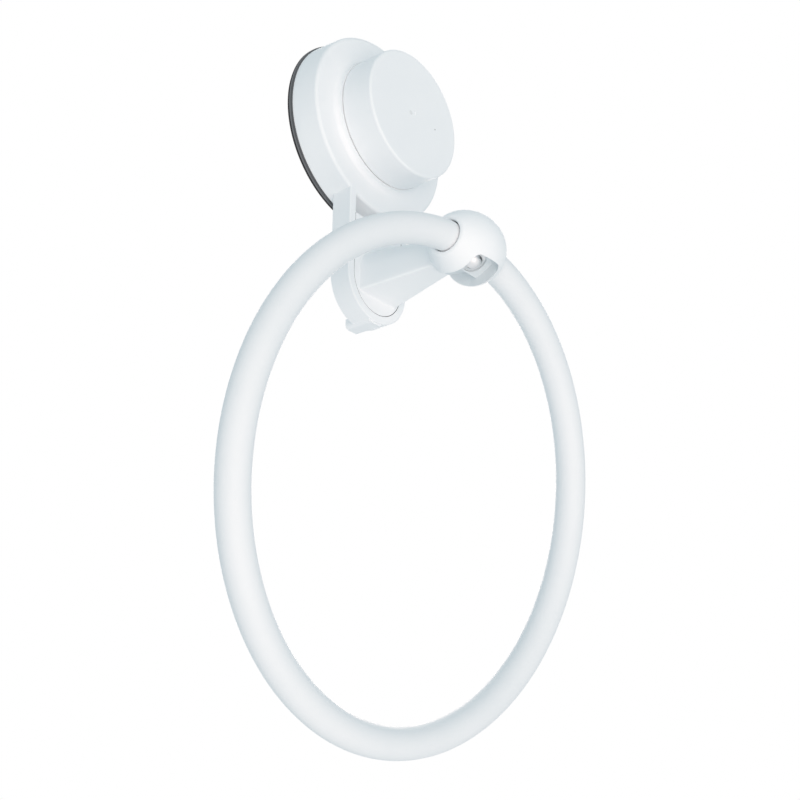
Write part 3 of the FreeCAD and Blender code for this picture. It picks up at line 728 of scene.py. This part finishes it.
def screwRecipe(name, values, material):
    # from the tip's pole up the threaded shank, under the head, round its side and over its dome
    tree = Recipe(name + "Recipe", values)
    given = tree.given
    row, turn = tree.grid()
    angle = turn * math.tau
    tip, top = given["tipLong"], given["long"]
    height = (row / given["tipRows"]).held(0.0, 1.0) * top
    wave = ((height / given["pitch"] - turn).maths("FRACT") - 0.5).maths("ABSOLUTE") * 2.0
    threaded = height.between(0.0, tip) * height.fading(
        top - given["runOut"], top - given["runOut"] * given["runShare"])
    shank = (given["tipRadius"] + (given["core"] - given["tipRadius"]) * height.between(0.0, tip)
             + given["thread"] * wave.between(given["root"], given["crest"]) * threaded)
    shank = shank * row.past(0.5)  # the first row is the tip's pole

    # rows past the shank: 1 is the edge under the head, 2 and 3 its side, the others its dome
    over = row - given["tipRows"]
    onHead = over.past(0.5)
    wide, tall, soft = given["headRadius"], given["headDome"], given["headSoft"]
    ball = (wide * wide + tall * tall) / (tall * 2.0)
    dome = ((over - 3.0) / (given["rows"] - given["tipRows"] - 4.0)).held(0.0, 1.0)
    slope = (wide / ball).maths("ARCSINE") * (1.0 - dome)
    head = ball * slope.maths("SINE") - soft * (1.0 - over.past(1.5))
    across = shank + (head - shank) * onHead
    side = across * angle.maths("SINE")
    clip = given["flat"] + onHead * wide  # the flats end under the head
    x = (across * angle.maths("COSINE")).held(-clip, clip)
    bulge = ball * slope.maths("COSINE") - ball + tall
    rise = tree.ladder(over, ((2, soft), (3, given["headSide"] - soft + bulge)))

    def slot(lengthways, sideways):
        blur = given["slotSoft"]
        reach, half = given["slotReach"], given["slotHalf"]
        return (lengthways.maths("ABSOLUTE").fading(reach - blur, reach + blur)
                * sideways.maths("ABSOLUTE").fading(half - blur, half + blur))

    cross = slot(x, side).maths("MAXIMUM", slot(side, x))
    height = height + rise - cross * given["slotDeep"] * over.past(3.5)
    lean = given["turned"].maths("RADIANS")
    tree.finish((x, given["originY"] + side * lean.maths("COSINE") - height * lean.maths("SINE"),
                 given["originZ"] + side * lean.maths("SINE") + height * lean.maths("COSINE")),
                material)
    return tree


def smoothMesh(mesh, sharpAngle):  # edges sharper than the angle stay sharp
    mesh.shade_smooth()
    mesh.set_sharp_from_angle(angle=math.radians(sharpAngle))


grownSharpAngle = 38.0


def growPiece(name, recipe, body, stoodFor):
    seed = addObject(name + "Seed", bpy.data.meshes.new(name + "Seed"))
    modifier = seed.modifiers.new("grow", "NODES")
    modifier.node_group = recipe.tree
    for key, identifier in recipe.keys.items():
        modifier[identifier] = recipe.values[key]
    grown = seed.evaluated_get(bpy.context.evaluated_depsgraph_get())
    mesh = bpy.data.meshes.new_from_object(grown)
    bpy.data.objects.remove(seed)
    smoothMesh(mesh, grownSharpAngle)
    made = addObject(name, mesh)
    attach(made, body)
    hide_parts(stoodFor)
    print(name, len(mesh.polygons), "faces")


for name, recipe, values, slot, body, node in (
        ("hoop", hoopRecipe, hoopForm, "ring_plastic", "ring", "ring"),
        ("drawStud", screwRecipe, screwForms["drawStud"], "stud_steel", "stud", "draw_stud"),
        ("backScrew", screwRecipe, screwForms["backScrew"], "stud_steel", "root", "arm_screw"),
        ("hoopScrew", screwRecipe, screwForms["hoopScrew"], "screw_steel", "root", "ring_screw")):
    growPiece(name, recipe(name, values, slotFinishes[slot]), body, node)
print("grown pieces in place")


cupForm = {
    "steps": 168,
    # half section from the middle of the wall side round the rim and back: radius and depth
    "section": ((0.0, 0.0), (16.0, 0.0), (30.0, 0.0), (37.6, 0.0), (38.0, 0.12), (38.4, 0.0),
                (39.9, 0.0), (40.35, 0.12), (40.55, 0.4), (40.58, 0.72), (40.32, 0.86), (40.3, 1.0),
                (40.56, 1.16), (40.58, 1.35), (40.5, 1.6), (40.28, 1.75), (40.34, 1.9),
                (40.45, 2.15), (40.3, 2.38), (39.95, 2.5), (37.2, 2.5), (36.6, 2.42), (36.0, 1.98),
                (35.4, 1.9), (27.0, 1.9), (19.2, 1.9), (18.0, 2.0), (16.6, 2.5), (13.2, 4.0),
                (12.4, 4.45), (11.6, 4.6), (6.0, 4.6), (0.0, 4.6)),
    "sharpAngle": 40.0,
    # in metres: where the cup stays with the housing, and where it goes with the stud
    "holds": (0.0, -0.0026, 0.0),
    "follows": (0.0, -0.0045, 0.0),
}


def turnCup(values):
    shape = bmesh.new()
    rings = []
    for radius, depth in values["section"]:
        count = values["steps"] if radius else 1
        turns = [math.tau * i / count for i in range(count)]
        rings.append([shape.verts.new((radius * millimetre * math.cos(turn), -depth * millimetre,
                                       radius * millimetre * math.sin(turn))) for turn in turns])
    for low, high in zip(rings, rings[1:]):
        for i in range(values["steps"]):
            corners = [low[i % len(low)], low[(i + 1) % len(low)],
                       high[(i + 1) % len(high)], high[i % len(high)]]
            shape.faces.new(list(dict.fromkeys(corners)))
    bmesh.ops.recalc_face_normals(shape, faces=shape.faces[:])
    mesh = bpy.data.meshes.new("rubberCup")
    shape.to_mesh(mesh)
    shape.free()
    smoothMesh(mesh, values["sharpAngle"])
    mesh.materials.append(slotFinishes["black_rubber"])
    made = addObject("rubberCup", mesh)
    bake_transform(made)
    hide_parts("suction_cup")
    print("rubberCup", len(mesh.polygons), "faces")


turnCup(cupForm)
print("suction cup in place")
